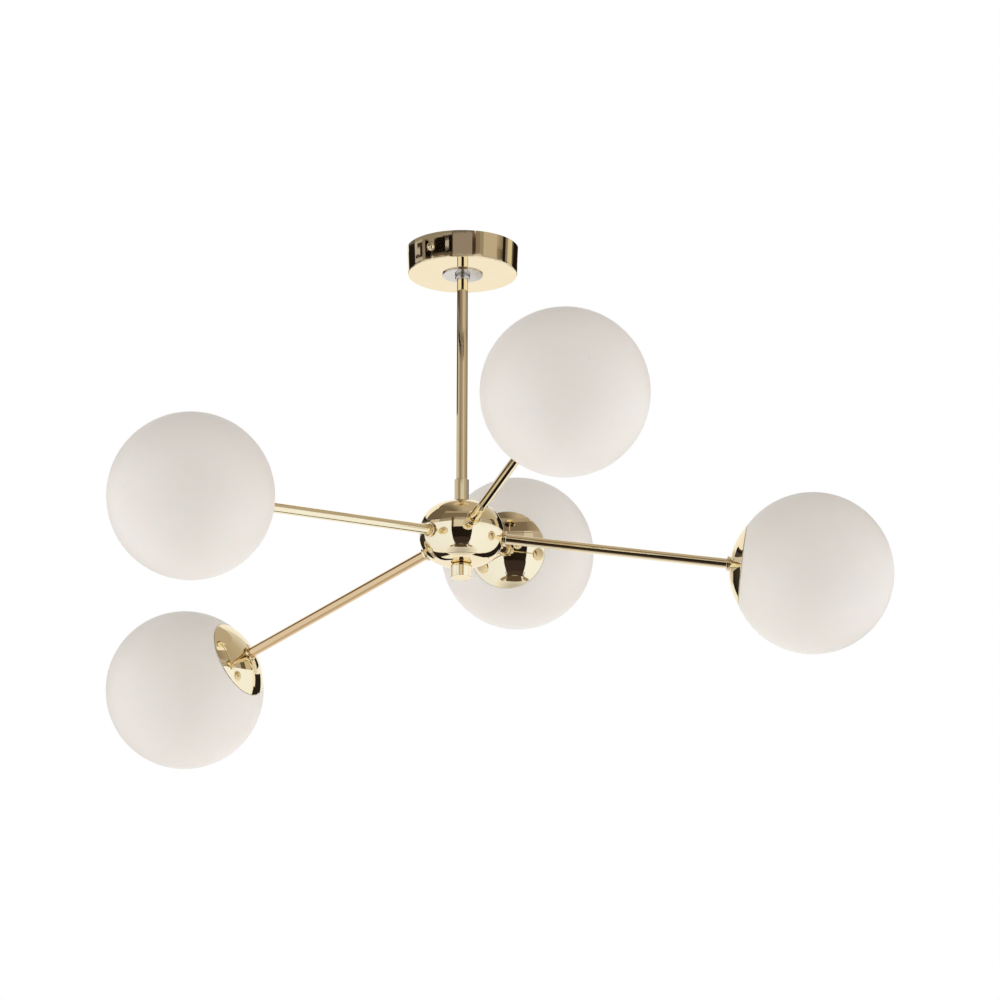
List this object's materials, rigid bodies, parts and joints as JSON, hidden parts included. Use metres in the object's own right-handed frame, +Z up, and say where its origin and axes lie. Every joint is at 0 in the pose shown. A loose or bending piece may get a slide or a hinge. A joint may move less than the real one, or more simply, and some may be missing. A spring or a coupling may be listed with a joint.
{
  "type": "ceiling light",
  "caption": "Ceiling light: opal glass globes with dome caps on straight polished arms that radiate from a flattened round hub under a short stem and round canopy.",
  "frame": {"origin": "centre of the ceiling plate's upper face, which lies on the ceiling", "axes": "+Z up along the stem; -Y towards the picture's camera, +X to its right"},
  "size_m": [0.7162, 0.7536, 0.4479],
  "materials": {
    "polished_brass": "mirror polished, pale gold plate",
    "chrome": "polished chrome plate",
    "zinc_steel": "zinc plated",
    "opal_glass": "satin opal white",
    "silicone": "matte translucent silicone",
    "ceramic": "unglazed",
    "lamp_plastic": "moulded",
    "white_nylon": "moulded",
    "lead_insulation": "extruded insulation"
  },
  "bodies": {
    "frame": {"ceiling_plate": "zinc_steel", "canopy": "polished_brass", "canopy_side_screws": "polished_brass", "canopy_washer": "chrome", "stem_ring_nut": "chrome", "stem_lock_nut": "zinc_steel", "stem_tube": "polished_brass", "coupling_sleeve": "polished_brass", "hub_spindle": "zinc_steel", "hub_body": "polished_brass", "hub_lock_nut": "zinc_steel", "hub_cover": "polished_brass", "finial": "polished_brass", "hub_junction": "white_nylon", "arm_ring_nuts": "polished_brass", "arm_hex_nuts": "zinc_steel", "arm_leads": "lead_insulation", "terminal_block": "white_nylon", "earth_screw": "zinc_steel", "stem_leads": "lead_insulation", "arm_tube_1": "polished_brass", "dome_cap_1": "polished_brass", "shade_collar_1": "polished_brass", "holder_cup_1": "zinc_steel", "lampholder_1": "ceramic", "arm_tube_2": "polished_brass", "dome_cap_2": "polished_brass", "shade_collar_2": "polished_brass", "holder_cup_2": "zinc_steel", "lampholder_2": "ceramic", "arm_tube_3": "polished_brass", "dome_cap_3": "polished_brass", "shade_collar_3": "polished_brass", "holder_cup_3": "zinc_steel", "lampholder_3": "ceramic", "arm_tube_4": "polished_brass", "dome_cap_4": "polished_brass", "shade_collar_4": "polished_brass", "holder_cup_4": "zinc_steel", "lampholder_4": "ceramic", "arm_tube_5": "polished_brass", "dome_cap_5": "polished_brass", "shade_collar_5": "polished_brass", "holder_cup_5": "zinc_steel", "lampholder_5": "ceramic"},
    "seal_1": {"gasket_1": "silicone"},
    "shade_1": {"globe_1": "opal_glass"},
    "bulb_1": {"lamp_1": "lamp_plastic"},
    "seal_2": {"gasket_2": "silicone"},
    "shade_2": {"globe_2": "opal_glass"},
    "bulb_2": {"lamp_2": "lamp_plastic"},
    "seal_3": {"gasket_3": "silicone"},
    "shade_3": {"globe_3": "opal_glass"},
    "bulb_3": {"lamp_3": "lamp_plastic"},
    "seal_4": {"gasket_4": "silicone"},
    "shade_4": {"globe_4": "opal_glass"},
    "bulb_4": {"lamp_4": "lamp_plastic"},
    "seal_5": {"gasket_5": "silicone"},
    "shade_5": {"globe_5": "opal_glass"},
    "bulb_5": {"lamp_5": "lamp_plastic"}
  },
  "joints": [
    {"name": "globe_1_travel", "type": "slide", "parent": "frame", "child": "seal_1", "axis": [0.9912, -0.0433, -0.1253], "range_m": [0, 0.0045]},
    {"name": "globe_1_turn", "type": "hinge", "parent": "seal_1", "child": "shade_1", "pos_m": [0.31519, -0.01376, -0.31256], "axis": [0.9912, -0.0433, -0.1253], "range_deg": [0, 540]},
    {"name": "lamp_1_pull", "type": "slide", "parent": "frame", "child": "bulb_1", "axis": [0.9912, -0.0433, -0.1253], "range_m": [0, 0.012]},
    {"name": "globe_2_travel", "type": "slide", "parent": "frame", "child": "seal_2", "axis": [0.1622, 0.9592, 0.2317], "range_m": [0, 0.0045]},
    {"name": "globe_2_turn", "type": "hinge", "parent": "seal_2", "child": "shade_2", "pos_m": [0.05159, 0.30501, -0.199], "axis": [0.1622, 0.9592, 0.2317], "range_deg": [0, 540]},
    {"name": "lamp_2_pull", "type": "slide", "parent": "frame", "child": "bulb_2", "axis": [0.1622, 0.9592, 0.2317], "range_m": [0, 0.012]},
    {"name": "globe_3_travel", "type": "slide", "parent": "frame", "child": "seal_3", "axis": [-0.8037, 0.5002, -0.3223], "range_m": [0, 0.0045]},
    {"name": "globe_3_turn", "type": "hinge", "parent": "seal_3", "child": "shade_3", "pos_m": [-0.25557, 0.15908, -0.37518], "axis": [-0.8037, 0.5002, -0.3223], "range_deg": [0, 540]},
    {"name": "lamp_3_pull", "type": "slide", "parent": "frame", "child": "bulb_3", "axis": [-0.8037, 0.5002, -0.3223], "range_m": [0, 0.012]},
    {"name": "globe_4_travel", "type": "slide", "parent": "frame", "child": "seal_4", "axis": [-0.7289, -0.6774, -0.0993], "range_m": [0, 0.0045]},
    {"name": "globe_4_turn", "type": "hinge", "parent": "seal_4", "child": "shade_4", "pos_m": [-0.2318, -0.2154, -0.30428], "axis": [-0.7289, -0.6774, -0.0993], "range_deg": [0, 540]},
    {"name": "lamp_4_pull", "type": "slide", "parent": "frame", "child": "bulb_4", "axis": [-0.7289, -0.6774, -0.0993], "range_m": [0, 0.012]},
    {"name": "globe_5_travel", "type": "slide", "parent": "frame", "child": "seal_5", "axis": [0.2824, -0.9532, 0.108], "range_m": [0, 0.0045]},
    {"name": "globe_5_turn", "type": "hinge", "parent": "seal_5", "child": "shade_5", "pos_m": [0.08979, -0.30312, -0.23836], "axis": [0.2824, -0.9532, 0.108], "range_deg": [0, 540]},
    {"name": "lamp_5_pull", "type": "slide", "parent": "frame", "child": "bulb_5", "axis": [0.2824, -0.9532, 0.108], "range_m": [0, 0.012]}
  ],
  "couplings": [
    {"joint": "globe_1_travel", "follows": "globe_1_turn", "m_per_rad": 0.00047746},
    {"joint": "globe_2_travel", "follows": "globe_2_turn", "m_per_rad": 0.00047746},
    {"joint": "globe_3_travel", "follows": "globe_3_turn", "m_per_rad": 0.00047746},
    {"joint": "globe_4_travel", "follows": "globe_4_turn", "m_per_rad": 0.00047746},
    {"joint": "globe_5_travel", "follows": "globe_5_turn", "m_per_rad": 0.00047746}
  ]
}
